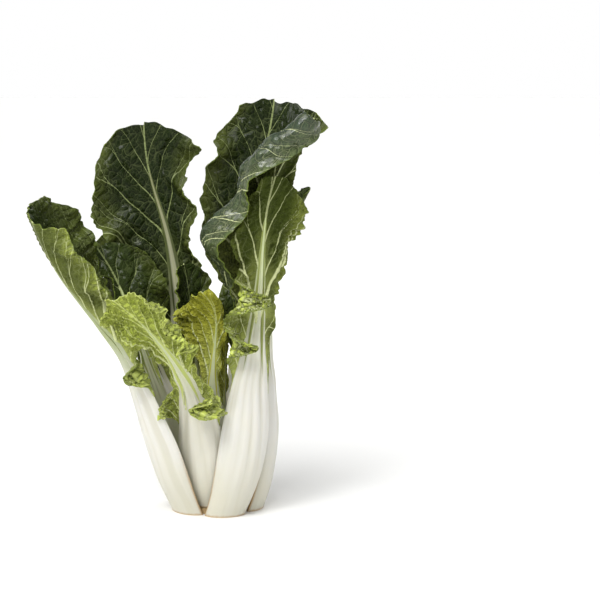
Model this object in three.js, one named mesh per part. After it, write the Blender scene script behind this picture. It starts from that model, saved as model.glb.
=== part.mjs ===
// A bunch of bok choy that stands on its cut end: a short core of stem, and round it rings of
// leaves, each with a broad white stalk and a waved green blade along the stalk's rib.
// Millimetres, +Z up. The cut end lies on z = 0 round the origin, and the front is at -Y.

import * as THREE from "three";

// The core: a flat disc of stem at the cut end, and on it the cone that the stalks stand round.
const DISC_RADIUS = 25.2;
const DISC_HEIGHT = 4.5;
const DISC_BEVEL = 1;
const CORE_RADIUS = 14;
const CORE_HEIGHT = 27;
const CORE_SIDES = 32;
// The cone's outline above the disc, as shares of the core's radius and height.
const CONE = [[0.88, 0.35], [0.6, 0.5], [0.45, 0.7], [0.25, 0.9], [0, 1]];

// Each ring of leaves starts at its own radius and height on the core.
const OUTER_RING = { radius: 30, height: 0, depth: 9.6, footWidth: 0.82 };
const SECOND_RING = { radius: 19.8, height: 5, depth: 7.8, footWidth: 0.6 };
const THIRD_RING = { radius: 12.4, height: 14.5, depth: 5, footWidth: 0.84 };
const HEART_RING = { radius: 4.2, height: 28, depth: 3.4, footWidth: 0.84 };

// How a stalk narrows and thins from its foot to the end of its rib, as shares.
const STALK_WIDTHS = [0.95, 1, 0.88, 0.62, 0.38, 0.23, 0.14, 0.07];
const STALK_DEPTHS = [1, 1, 0.88, 0.72, 0.56, 0.43, 0.33, 0.25, 0.17];
const STALK_EDGE = 0.24;
const STALK_EDGE_POWER = 2.4;
const OUTER_SHARE = 0.58;

// How a blade widens from where its wings leave the stalk to its tip, as shares. Its ears are
// small flaps that fold out at its sides: how long they are, as a share of the leaf, and how
// much of their own reach the fold takes.
const BLADE_WIDTHS = [0.03, 0.12, 0.4, 0.7, 0.9, 1, 1, 0.86];
const BLADE_THICKNESS = 1;
const BLADE_GAP = 0.9;
const ROUNDING_START = 0.3;
const EAR_SPAN = 0.045;
const EAR_FOLD = 0.6;
const PAST_MARGIN = 1.15;

// The waves along a blade's margins. Each runs on towards the tip as it goes out, the two
// sides are out of step, and a lower and quicker ripple rides on it.
const WAVE_RISE = 0.35;
const WAVE_SLANT = 0.12;
const WAVE_STEP = 1.7;
const RIPPLE_HEIGHT = 0.35;
const RIPPLE_RATE = 1.7;

// Steps along and across the solids.
const SPINE_STEPS = 200;
const SECTION_STEPS = 24;
const FOOT_ROWS = 5;
const STALK_COLUMNS = 3;
const LARGE_BLADE = { rows: 17, columns: 4 };
const SMALL_BLADE = { rows: 11, columns: 3 };

const WHITE = new THREE.MeshStandardMaterial({ color: 0xe9e9dc, roughness: 0.38, metalness: 0 });
const PALE = new THREE.MeshStandardMaterial({ color: 0xd9dcb0, roughness: 0.5, metalness: 0 });
const CUT = new THREE.MeshStandardMaterial({ color: 0xd8d2ae, roughness: 0.6, metalness: 0 });
const DARK_GREEN = new THREE.MeshStandardMaterial({ color: 0x2c4a20, roughness: 0.42, metalness: 0 });
const LEAF_GREEN = new THREE.MeshStandardMaterial({ color: 0x55762c, roughness: 0.45, metalness: 0 });
const HEART_GREEN = new THREE.MeshStandardMaterial({ color: 0xa0a63a, roughness: 0.5, metalness: 0 });

// Every leaf. Lean, side, twist, cup and roll are degrees at even steps from foot to tip:
// lean is outwards from the vertical, side is counter-clockwise seen from above, twist turns
// the leaf on its own rib, cup bends its sides in, and roll curls its margins in, or out where
// it is below zero, between the two shares of the width in rollSpan. A pair of values is for
// the clockwise and the counter-clockwise side. Half is half the stalk's width, wings are how
// far the blade reaches past it, and widths how it widens. Start, where the blade begins, and
// ribEnd are shares of the length. Wave is the height of the margin's waves, waves their number
// and phase where they start. Rounding is how far the blade's sides fall back from its tip, as
// a share of their width. An ear stands at a share of the length and curls out by degrees.
// What a leaf doesn't state is as in PLAIN.
const PLAIN = {
  side: [0], twist: [0], roll: [[0], [0]], rollSpan: [0.25, 0.8],
  widths: [BLADE_WIDTHS, BLADE_WIDTHS], rounding: 0.7, ears: [],
};
const LEAVES = [
  {
    name: "left", ring: OUTER_RING, azimuth: 213, length: 262, half: 22.5, material: LEAF_GREEN,
    lean: [24, 18, 18, 38, 37, 26], side: [-4, -6, -6, -3, 4, 14], twist: [4, 4, 0, -6, -10, -10],
    cup: [[36, 32, 30, 66, 74, 50], [36, 31, 30, 70, 76, 60]],
    wings: [74, 30], start: 0.4, ribEnd: 0.86, wave: 4, waves: 4.2, phase: 0.4,
    widths: [[0.03, 0.12, 0.4, 0.67, 0.84, 0.98, 1.05, 0.88], BLADE_WIDTHS],
    rounding: 0.25, ears: [{ at: 0.45, size: 18, side: 1, curl: 150 }],
  },
  {
    name: "front", ring: SECOND_RING, azimuth: 251, length: 204, half: 20.5, material: LEAF_GREEN,
    lean: [22, 10, 16, 33, 45, 54], side: [-4, 0, -5, -16, -18, -20], twist: [0, 0, 0, 0, 6, 10],
    cup: [[38, 32, 26, 10, 20], [38, 32, 26, 6, 16]], roll: [[0], [0, 0, -20, -70, -60]],
    wings: [26, 36], start: 0.36, ribEnd: 0.84, wave: 3, waves: 3.4, phase: 1.6,
    widths: [
      [0.03, 0.05, 0.14, 0.4, 0.75, 0.95, 1, 0.86],
      [0.03, 0.05, 0.14, 0.45, 0.8, 1, 1, 0.86],
    ],
    ears: [{ at: 0.415, size: 22, side: -1, curl: 150 }, { at: 0.43, size: 27, side: 1, curl: 160 }],
  },
  {
    name: "front_right", ring: OUTER_RING, azimuth: 286, length: 267, half: 19.5, material: LEAF_GREEN,
    lean: [20, 8, 3, 2, 4, 7, 12, 16], side: [14, 11, 5, 5, 5, 2, 4, 14],
    cup: [[36, 31, 26, 16, 14, 14], [36, 31, 26, 20, 24, 24]],
    wings: [27, 32], start: 0.4, ribEnd: 0.88, wave: 3, waves: 4, phase: 2.2,
    widths: [
      [0.03, 0.3, 0.6, 0.65, 0.5, 0.8, 0.55, 0.3],
      [0.03, 0.1, 0.2, 0.35, 0.55, 0.78, 0.95, 0.9],
    ],
    ears: [{ at: 0.51, size: 16, side: -1, curl: 160 }, { at: 0.65, size: 20, side: -1, curl: 165 }],
  },
  {
    name: "right", ring: OUTER_RING, azimuth: 355, length: 256, half: 19, material: LEAF_GREEN,
    lean: [20, 5, -4, 4, 20, 30], side: [6, 5, 0, -2, -8, -10],
    cup: [[36, 31, 30, 44, 40], [36, 31, 30, 60, 60]],
    wings: [6, 26], start: 0.44, ribEnd: 0.84, wave: 3, waves: 4, phase: 3.1,
  },
  {
    name: "back_right", ring: OUTER_RING, azimuth: 64, length: 320, half: 20, material: DARK_GREEN,
    lean: [20, 5, 5, 6, 10, 17], side: [-6, -2, 4, 4, -13, 1], twist: [0, 0, 6, 12, 16, 16],
    cup: [[36, 31, 28, 38, 24], [36, 31, 28, 38, 24]],
    wings: [36, 40], start: 0.42, ribEnd: 0.88, wave: 4.5, waves: 4.6, phase: 4.3, rounding: 0.42,
    widths: [
      [0.03, 0.12, 0.42, 0.65, 0.7, 0.6, 0.7, 1.3],
      [0.03, 0.12, 0.57, 0.8, 0.95, 0.91, 0.97, 0.65],
    ],
  },
  {
    name: "back_left", ring: OUTER_RING, azimuth: 140, length: 221, half: 20, material: DARK_GREEN,
    lean: [22, 10, 20, 26, 34], side: [4, 8, 6, -4, -12],
    cup: [[36, 31, 28, 40, 30], [36, 31, 28, 40, 30]],
    wings: [42, 40], start: 0.36, ribEnd: 0.86, wave: 4.5, waves: 4.4, phase: 5.2,
  },
  {
    name: "inner_left", ring: SECOND_RING, azimuth: 167, length: 212, half: 17.5, material: LEAF_GREEN,
    lean: [20, 15, 18, 22, 40], side: [8, 8, 2, -6, -10], twist: [0, 0, -14, -40, -50],
    cup: [[42, 34, 30, 26, 16], [42, 34, 30, 30, 26]],
    wings: [34, 6], start: 0.46, ribEnd: 0.84, wave: 3.5, waves: 4, phase: 0.9,
  },
  {
    name: "inner_back", ring: SECOND_RING, azimuth: 98, length: 299, half: 18, material: DARK_GREEN,
    lean: [20, 2, 4, 8, 10, 2], side: [6, 10, 11, 8, 16, 0], twist: [0, 0, -8, -12, -12],
    cup: [[42, 34, 34, 44, 20], [42, 34, 22, 22, 20]],
    wings: [42, 57], start: 0.4, ribEnd: 0.88, wave: 4.5, waves: 4.6, phase: 2.8, rounding: 0.56,
    widths: [
      [0.03, 0.12, 0.26, 0.38, 0.58, 0.66, 0.79, 1.15],
      [0.03, 0.12, 0.49, 0.67, 0.81, 0.87, 0.88, 0.5],
    ],
  },
  {
    name: "inner_right", ring: SECOND_RING, azimuth: 34, length: 235, half: 16, material: LEAF_GREEN,
    lean: [20, 4, 0, 2, 10],
    cup: [[42, 36, 32, 44, 40], [42, 36, 32, 44, 40]],
    wings: [14, 16], start: 0.5, ribEnd: 0.84, wave: 3, waves: 3.6, phase: 1.2,
  },
  {
    name: "inner_front", ring: SECOND_RING, azimuth: 322, length: 312, half: 16, material: DARK_GREEN,
    lean: [17, 7, 2, 0, 2, 12, 22, 29, 36], side: [2, 2, 1, 1, -1, -4, 0, 12, 17],
    twist: [0, 0, -5, -39, -36, -11],
    cup: [[42, 36, 32, 29, 19, -14], [42, 36, 32, 20, 20, 20]],
    roll: [[0, 0, 0, -64, -130, -143, -125, -179], [0]], rollSpan: [0.27, 0.83],
    wings: [61, 13], start: 0.42, ribEnd: 0.88, wave: 3, waves: 4, phase: 4.8, rounding: -0.07,
    widths: [[0.03, 0.2, 0.61, 1.2, 0.72, 0.8, 0.79, 0.5], BLADE_WIDTHS],
  },
  {
    name: "young_front", ring: THIRD_RING, azimuth: 262, length: 168, half: 12, material: HEART_GREEN,
    small: true, lean: [14, 5, 2, 9, 18, 41], side: [5, 0, -2, 6, 4, -33],
    cup: [[46, 38, 34, 30, 34], [46, 38, 34, 40, 44]],
    wings: [34, 6], start: 0.46, ribEnd: 0.84, wave: 2.6, waves: 3.6, phase: 3.7,
  },
  {
    name: "young_left", ring: THIRD_RING, azimuth: 142, length: 176, half: 12, material: LEAF_GREEN,
    small: true, lean: [14, 4, 2, 8, 14],
    cup: [[46, 38, 34, 46, 44], [46, 38, 34, 46, 44]],
    wings: [20, 26], start: 0.44, ribEnd: 0.84, wave: 2.4, waves: 3.6, phase: 0.3,
  },
  {
    name: "young_right", ring: THIRD_RING, azimuth: 22, length: 186, half: 12, material: LEAF_GREEN,
    small: true, lean: [14, 2, -2, 2, 10],
    cup: [[46, 38, 34, 50, 46], [46, 38, 34, 50, 46]],
    wings: [26, 18], start: 0.44, ribEnd: 0.84, wave: 2.4, waves: 3.6, phase: 5.6,
  },
  {
    name: "heart_left", ring: HEART_RING, azimuth: 150, length: 104, half: 6, material: HEART_GREEN,
    small: true, lean: [6, 3, 0, 2, 8],
    cup: [[50, 44, 44, 60, 60], [50, 44, 44, 60, 60]],
    wings: [10, 10], start: 0.44, ribEnd: 0.82, wave: 1.4, waves: 3, phase: 2,
  },
  {
    name: "heart_right", ring: HEART_RING, azimuth: 330, length: 116, half: 6, material: HEART_GREEN,
    small: true, lean: [6, 3, 0, 2, 8],
    cup: [[50, 44, 44, 60, 60], [50, 44, 44, 60, 60]],
    wings: [10, 15], start: 0.38, ribEnd: 0.82, wave: 1.4, waves: 3, phase: 4,
  },
];

// A smooth curve through values that are spaced evenly over 0 to 1.
function along(values, share) {
  if (values.length === 1) return values[0];
  const last = values.length - 1;
  const place = THREE.MathUtils.clamp(share, 0, 1) * last;
  const i = Math.min(Math.floor(place), last - 1);
  const t = place - i;
  const [a, b] = [values[i], values[i + 1]];
  const slopeIn = (b - (values[i - 1] ?? a)) / 2;
  const slopeOut = ((values[i + 2] ?? b) - a) / 2;
  const t2 = t * t;
  const t3 = t2 * t;
  return (
    a * (2 * t3 - 3 * t2 + 1) + slopeIn * (t3 - 2 * t2 + t)
    + b * (3 * t2 - 2 * t3) + slopeOut * (t3 - t2)
  );
}

// The three directions of a leaf at a share of its length: along its rib, out of its back,
// and across it.
function directionsAt(leaf, share) {
  const angle = (values) => THREE.MathUtils.degToRad(along(values, share));
  const [azimuth, lean] = [THREE.MathUtils.degToRad(leaf.azimuth), angle(leaf.lean)];
  const [side, twist] = [angle(leaf.side), angle(leaf.twist)];
  const outwards = new THREE.Vector3(Math.cos(azimuth), Math.sin(azimuth), 0);
  const around = new THREE.Vector3(-Math.sin(azimuth), Math.cos(azimuth), 0);
  const up = new THREE.Vector3(0, 0, Math.cos(lean)).addScaledVector(outwards, Math.sin(lean));
  const along3 = up.clone().multiplyScalar(Math.cos(side)).addScaledVector(around, Math.sin(side));
  const back = outwards.clone().multiplyScalar(Math.cos(lean));
  back.z -= Math.sin(lean);
  const across = new THREE.Vector3().crossVectors(along3, back);
  return {
    along: along3,
    back: back.clone().multiplyScalar(Math.cos(twist)).addScaledVector(across, Math.sin(twist)),
    across: across.clone().multiplyScalar(Math.cos(twist)).addScaledVector(back, -Math.sin(twist)),
  };
}

// The rib's line from the foot to the tip, stepped along its own direction.
function spineOf(leaf) {
  const azimuth = THREE.MathUtils.degToRad(leaf.azimuth);
  const { radius, height } = leaf.ring;
  const point = new THREE.Vector3(radius * Math.cos(azimuth), radius * Math.sin(azimuth), height);
  const points = [point.clone()];
  for (let i = 0; i < SPINE_STEPS; i++) {
    const { along: step } = directionsAt(leaf, (i + 0.5) / SPINE_STEPS);
    point.addScaledVector(step, leaf.length / SPINE_STEPS);
    points.push(point.clone());
  }
  return points;
}

function spineAt(leaf, share) {
  const place = THREE.MathUtils.clamp(share, 0, 1) * SPINE_STEPS;
  const i = Math.min(Math.floor(place), SPINE_STEPS - 1);
  return leaf.spine[i].clone().lerp(leaf.spine[i + 1], place - i);
}

// Half the stalk's width, up to the end of the rib, and its depth there.
function stalkHalf(leaf, share) {
  return leaf.half * along([leaf.ring.footWidth, ...STALK_WIDTHS], share / leaf.ribEnd);
}

function stalkDepth(leaf, share) {
  return leaf.ring.depth * along(STALK_DEPTHS, share / leaf.ribEnd);
}

// The size, or the curl, that the leaf's ears add here.
function earsAt(leaf, share, sign, what) {
  const here = leaf.ears.filter((ear) => ear.side === sign);
  return here.reduce((sum, ear) => sum + ear[what] * Math.exp(-(((share - ear.at) / EAR_SPAN) ** 2)), 0);
}

// How far the blade reaches past the stalk's edge, on the side that sign gives.
function wing(leaf, share, sign) {
  const onBlade = (share - leaf.start) / (1 - leaf.start);
  const side = sign < 0 ? 0 : 1;
  return leaf.wings[side] * along(leaf.widths[side], onBlade) + earsAt(leaf, share, sign, "size");
}

// The angle by which the leaf has bent inwards at this distance from its rib.
function bendAt(leaf, share, distance, sign) {
  const edge = stalkHalf(leaf, share);
  const reach = edge + (share > leaf.start ? wing(leaf, share, sign) : 0);
  const v = Math.min(distance / reach, PAST_MARGIN);
  const folded = THREE.MathUtils.smoothstep(distance, edge, edge + EAR_FOLD * (reach - edge));
  const curled = earsAt(leaf, share, sign, "curl") * folded;
  const [cup, roll] = [leaf.cup, leaf.roll].map((sides) => along(sides[sign < 0 ? 0 : 1], share));
  const rolled = roll * THREE.MathUtils.smoothstep(v, ...leaf.rollSpan);
  return THREE.MathUtils.degToRad(cup * v + rolled - curled);
}

// How far a wave lifts the blade out of its plain form.
function waveAt(leaf, share, distance, sign) {
  const onBlade = (share - leaf.start) / (1 - leaf.start);
  if (onBlade <= 0) return 0;
  const reach = stalkHalf(leaf, share) + wing(leaf, share, sign);
  const v = Math.min(distance / reach, PAST_MARGIN);
  const turn = 2 * Math.PI * leaf.waves * (onBlade + WAVE_SLANT * v) + leaf.phase + WAVE_STEP * sign;
  const ripple = RIPPLE_HEIGHT * Math.sin(RIPPLE_RATE * turn + leaf.phase);
  const rise = THREE.MathUtils.smoothstep(onBlade, 0, WAVE_RISE);
  return leaf.wave * rise * v * v * (Math.sin(turn) + ripple);
}

// A point of the leaf: share of its length, distance from its rib (signed), and height out
// of its back.
function leafPoint(leaf, share, across, out) {
  const sign = across < 0 ? -1 : 1;
  const distance = Math.abs(across);
  const frame = directionsAt(leaf, share);
  const step = distance / SECTION_STEPS;
  const point = spineAt(leaf, share);
  for (let i = 0; i < SECTION_STEPS; i++) {
    const bend = bendAt(leaf, share, (i + 0.5) * step, sign);
    point.addScaledVector(frame.across, sign * step * Math.cos(bend));
    point.addScaledVector(frame.back, -step * Math.sin(bend));
  }
  const bend = bendAt(leaf, share, distance, sign);
  const lift = out + waveAt(leaf, share, distance, sign);
  point.addScaledVector(frame.back, lift * Math.cos(bend));
  return point.addScaledVector(frame.across, sign * lift * Math.sin(bend));
}

function geometryOf(points, triangles) {
  const geometry = new THREE.BufferGeometry().setFromPoints(points);
  geometry.setIndex(triangles.flat());
  geometry.computeVertexNormals();
  return geometry;
}

// The stalk's section: across its back from edge to edge, and home along its inner face.
function stalkSection(leaf, share) {
  const half = stalkHalf(leaf, share);
  const depth = stalkDepth(leaf, share);
  const places = Array.from({ length: 2 * STALK_COLUMNS + 1 }, (_, i) => i / STALK_COLUMNS - 1);
  const thickness = (q) => depth * (1 - (1 - STALK_EDGE) * Math.abs(q) ** STALK_EDGE_POWER);
  const back = places.map((q) => leafPoint(leaf, share, q * half, OUTER_SHARE * thickness(q)));
  const face = places.map((q) => leafPoint(leaf, share, q * half, (OUTER_SHARE - 1) * thickness(q)));
  return [...back, ...face.reverse()];
}

// The section cut off level at a height, slid along the stalk.
function cutLevel(leaf, section, height) {
  const { along: direction } = directionsAt(leaf, 0);
  return section.map((p) => p.addScaledVector(direction, (height - p.z) / direction.z));
}

// A solid through rings of points that run the same way round, with flat ends.
function loft(rings) {
  const around = rings[0].length;
  const triangles = [];
  for (let row = 0; row < rings.length - 1; row++)
    for (let i = 0; i < around; i++) {
      const j = (i + 1) % around;
      const [a, b] = [row * around + i, row * around + j];
      const [c, d] = [a + around, b + around];
      triangles.push([a, b, c], [b, d, c]);
    }
  const top = (rings.length - 1) * around;
  for (let i = 0; i < around / 2 - 1; i++) {
    const [a, b] = [i, i + 1];
    const [c, d] = [around - 1 - i, around - 2 - i];
    triangles.push([a, c, b], [b, c, d], [top + a, top + b, top + c], [top + b, top + d, top + c]);
  }
  return geometryOf(rings.flat(), triangles);
}

// Shares of the length where the blade has its rows, and where the stalk has its sections:
// above the blade's start these stand at every second row of the blade.
function bladeShares(leaf) {
  const { rows } = leaf.small ? SMALL_BLADE : LARGE_BLADE;
  return Array.from({ length: rows }, (_, i) => leaf.start + ((1 - leaf.start) * i) / (rows - 1));
}

function stalkShares(leaf) {
  const foot = Array.from({ length: FOOT_ROWS }, (_, i) => (leaf.start * i) / FOOT_ROWS);
  const beside = bladeShares(leaf).filter((share, i) => i % 2 === 0 && share < leaf.ribEnd);
  return [...foot, ...beside];
}

function stalk(leaf) {
  const rings = stalkShares(leaf).map((share, i) => {
    const section = stalkSection(leaf, share);
    return i === 0 ? cutLevel(leaf, section, leaf.ring.height) : section;
  });
  const made = new THREE.Mesh(loft(rings), leaf.ring === HEART_RING ? PALE : WHITE);
  made.name = leaf.name + "_stalk";
  return made;
}

// A sheet of points given equal thickness: its two faces share one pattern of triangles.
function thicken(points, triangles, thickness) {
  const { array } = geometryOf(points, triangles).attributes.normal;
  const shifted = (distance) =>
    points.map((p, i) => p.clone().addScaledVector(new THREE.Vector3().fromArray(array, 3 * i), distance));
  const count = points.length;
  const edges = new Set(triangles.flatMap(([a, b, c]) => [`${a},${b}`, `${b},${c}`, `${c},${a}`]));
  const rim = [...edges].map((e) => e.split(",").map(Number)).filter(([a, b]) => !edges.has(`${b},${a}`));
  return geometryOf(
    [...shifted(thickness / 2), ...shifted(-thickness / 2)],
    [
      ...triangles,
      ...triangles.map(([a, b, c]) => [a + count, c + count, b + count]),
      ...rim.flatMap(([a, b]) => [[a, a + count, b], [b, a + count, b + count]]),
    ],
  );
}

// One point of the blade: its rows bend back at the sides, which rounds the tip.
function bladePoint(leaf, share, column, sign) {
  const inner = share < leaf.ribEnd ? stalkHalf(leaf, share) + BLADE_GAP : BLADE_GAP;
  const onBlade = (share - leaf.start) / (1 - leaf.start);
  const reach = wing(leaf, share, sign);
  const rounding = leaf.rounding * THREE.MathUtils.smoothstep(onBlade, ROUNDING_START, 1);
  const back = (rounding * reach) / leaf.length;
  return leafPoint(leaf, share - back * column ** 2, sign * (inner + column * reach), 0);
}

function blade(leaf) {
  const { rows, columns } = leaf.small ? SMALL_BLADE : LARGE_BLADE;
  const across = 2 * (columns + 1);
  const shares = bladeShares(leaf);
  const points = shares.flatMap((share) =>
    Array.from({ length: across }, (_, i) => {
      const sign = i <= columns ? -1 : 1;
      const column = sign < 0 ? columns - i : i - columns - 1;
      return bladePoint(leaf, share, column / columns, sign);
    }),
  );
  const triangles = [];
  for (let row = 0; row < rows - 1; row++)
    for (let i = 0; i < across - 1; i++) {
      if (i === columns && shares[row] < leaf.ribEnd) continue;
      const [a, b] = [row * across + i, row * across + i + 1];
      triangles.push([a, a + across, b], [b, a + across, b + across]);
    }
  const made = new THREE.Mesh(thicken(points, triangles, BLADE_THICKNESS), leaf.material);
  made.name = leaf.name + "_blade";
  return made;
}

function core() {
  const disc = [
    [0, 0], [DISC_RADIUS, 0], [DISC_RADIUS, DISC_HEIGHT - DISC_BEVEL],
    [DISC_RADIUS - DISC_BEVEL, DISC_HEIGHT], [CORE_RADIUS, DISC_HEIGHT],
  ];
  const cone = CONE.map(([radius, height]) => [radius * CORE_RADIUS, height * CORE_HEIGHT]);
  const points = [...disc, ...cone].map(([radius, height]) => new THREE.Vector2(radius, height));
  const made = new THREE.Mesh(new THREE.LatheGeometry(points, CORE_SIDES), CUT);
  made.name = "core";
  made.rotation.x = Math.PI / 2;
  return made;
}

const bunch = new THREE.Group();
bunch.add(core());
for (const stated of LEAVES) {
  const leaf = { ...PLAIN, ...stated };
  leaf.spine = spineOf(leaf);
  bunch.add(stalk(leaf), blade(leaf));
}

export default bunch;
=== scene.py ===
"""The looks of a bok choy bunch that stands on its cut end.

Each leaf is a broad white stalk and a thin blade, both shaped by one formula from the leaf's
line of sizes in LEAVES. Sizes there are millimetres and degrees, and the meshes are metres.
"""

import math

import bpy
import numpy as np
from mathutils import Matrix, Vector


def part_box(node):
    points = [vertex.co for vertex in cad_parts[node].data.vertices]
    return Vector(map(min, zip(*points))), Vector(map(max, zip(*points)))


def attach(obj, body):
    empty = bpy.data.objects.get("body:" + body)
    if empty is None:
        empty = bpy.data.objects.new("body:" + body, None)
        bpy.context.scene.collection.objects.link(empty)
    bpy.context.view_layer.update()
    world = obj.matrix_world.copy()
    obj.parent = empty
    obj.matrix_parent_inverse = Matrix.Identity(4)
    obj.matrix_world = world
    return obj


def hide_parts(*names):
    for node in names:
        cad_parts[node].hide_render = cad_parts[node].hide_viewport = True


bl_info = {
    "name": "Bok Choy Bunch",
    "version": (1, 0, 0),
    "blender": (4, 5, 0),
    "location": "View3D > Sidebar > Bok Choy",
    "description": "Dresses a bunch of bok choy with ribbed stalks and blistered, veined leaves",
    "category": "Add Mesh",
}

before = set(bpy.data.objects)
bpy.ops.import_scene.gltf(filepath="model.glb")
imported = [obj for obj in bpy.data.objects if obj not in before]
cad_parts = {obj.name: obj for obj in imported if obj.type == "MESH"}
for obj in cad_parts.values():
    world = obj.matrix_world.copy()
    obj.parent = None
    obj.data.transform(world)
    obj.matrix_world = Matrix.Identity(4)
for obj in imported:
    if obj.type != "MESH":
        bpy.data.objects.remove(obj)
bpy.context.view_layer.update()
BODY = "root"
MM = 0.001

# The rings of leaves: where each starts on the core, and its stalks' depth and foot width.
OUTER_RING = {"radius": 30, "height": 0, "depth": 9.6, "foot": 0.82}
SECOND_RING = {"radius": 19.8, "height": 5, "depth": 7.8, "foot": 0.6}
THIRD_RING = {"radius": 12.4, "height": 14.5, "depth": 5, "foot": 0.84}
HEART_RING = {"radius": 4.2, "height": 28, "depth": 3.4, "foot": 0.84}

# How a stalk narrows and thins from its foot to the end of its rib, as shares.
STALK_WIDTHS = (0.95, 1, 0.88, 0.62, 0.38, 0.23, 0.14, 0.07)
STALK_DEPTHS = (1, 1, 0.88, 0.72, 0.56, 0.43, 0.33, 0.25, 0.17)
STALK_EDGE = 0.24
STALK_EDGE_POWER = 2.4
STALK_CORNER_POWER = 14
OUTER_SHARE = 0.58
FOOT_RINGS = 6
FOOT_SETTLE = 16
TIP_RINGS = 3

# How a blade widens from where its wings leave the stalk to its tip, as shares. Its ears are
# small flaps that fold out at its sides: how long they are, as a share of the leaf, and how
# much of their own reach the fold takes.
BLADE_WIDTHS = (0.03, 0.12, 0.4, 0.7, 0.9, 1, 1, 0.86)
BLADE_LEAD = 0.05
HIDDEN_COLUMNS = 0.12
HIDDEN_SHARE = 0.85
ROUNDING_START = 0.3
EAR_SPAN = 0.045
EAR_FOLD = 0.6
PAST_MARGIN = 1.15

# The waves along a blade's margins, and the lower and quicker ripple that rides on them.
WAVE_RISE = 0.35
WAVE_SLANT = 0.12
WAVE_STEP = 1.7
RIPPLE_HEIGHT = 0.35
RIPPLE_RATE = 1.7

# Steps along a rib's line and across a leaf, and the swells that a drift is made of.
SPINE_STEPS = 200
SECTION_STEPS = 24
DRIFT_WAVES = 7

# How far apart a blade's two sides lie in its drifts, for its outline and for its frills.
SIDES_APART = 40
FRILLS_APART = 30

# The frills: a turn's length at the margin, and how much quicker the two crimps on it run. An
# ear that curls by FULL_CURL degrees is a flap all over.
FRILL_TURN = 4.6
CRIMP_RATE = 2.7
FINE_RATE = 5.8
FULL_CURL = 110
COCKLE_SIZE, COCKLE_HEIGHT = 17, 0.5
CRINKLE_SIZE, CRINKLE_HEIGHT = 4.2, 0.32
RIM_LIGHT = 0.1

# Veins and blisters have their stated sizes on a leaf of this length, and are smaller on others.
FULL_LENGTH = 260

# A side vein leaves the rib steeply, turns out over some millimetres and forks further out.
# The lowest one, just above the blade's start, is the stoutest.
VEIN_SLOPE = 0.9
VEIN_TURN = 9
VEIN_CLIMB = 20
LOWEST_VEIN = 6
FORK_START = 0.4
FORK_REACH = 0.24

RINGS = {"outer": OUTER_RING, "second": SECOND_RING, "third": THIRD_RING, "heart": HEART_RING}
BLADE_GRIDS = {"outer": (104, 150), "second": (96, 136), "third": (64, 90), "heart": (36, 50)}
STALK_GRIDS = {"outer": (64, 110), "second": (56, 96), "third": (40, 72), "heart": (28, 48)}
BLADE_SLOTS = {"dark": "dark_leaf", "deep": "dark_leaf", "glossy": "dark_leaf", "heart": "heart_leaf"}

# The core: each ring's width, as a share of the widest, and height. Its cut face has inset rings.
CORE_RINGS = ((1, 3.6), (0.97, 4.5), (0.56, 4.8), (0.5, 9.5), (0.34, 13.5), (0.14, 24))
CUT_INSETS = 5
CUT_INSET = 0.0045

# The studio's nearer lights: name, place, size and power. Both look at the middle of the bunch.
STUDIO_LIGHTS = (("key", (-0.8, -1.3, 1.5), 0.45, 8), ("rim", (0.6, 1.3, 1.4), 0.8, 7))
LIGHT_AIM = Vector((0, 0, 0.15))
SENSOR_WIDTH = 36


def curve(values, share):
    """A smooth curve through values that are spaced evenly over shares 0 to 1."""
    values = np.asarray(values, float)
    if len(values) == 1:
        return np.full(np.shape(share), values[0])
    last = len(values) - 1
    place = np.clip(share, 0, 1) * last
    i = np.minimum(place.astype(int), last - 1)
    t = place - i
    padded = np.concatenate([values[:1], values, values[-1:]])
    before, low, high, after = (padded[i + n] for n in range(4))
    start = low * (2 * t**3 - 3 * t**2 + 1) + (high - before) / 2 * (t**3 - 2 * t**2 + t)
    return start + high * (3 * t**2 - 2 * t**3) + (after - low) / 2 * (t**3 - t**2)


def fade(x, low, high):
    """From 0 at low to 1 at high, smoothly."""
    t = np.clip((x - low) / (high - low), 0, 1)
    return t * t * (3 - 2 * t)


def drift(x, y, size, seed):
    """A smooth field of about -1 to 1, whose swells are about one size across."""
    random = np.random.default_rng(seed)
    total = 0
    for _ in range(DRIFT_WAVES):
        angle, phase = random.uniform(0, 2 * math.pi, 2)
        rate = 2 * math.pi * random.uniform(0.6, 1.5) / size
        total = total + np.sin(rate * (x * math.cos(angle) + y * math.sin(angle)) + phase)
    return total / math.sqrt(DRIFT_WAVES)


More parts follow.
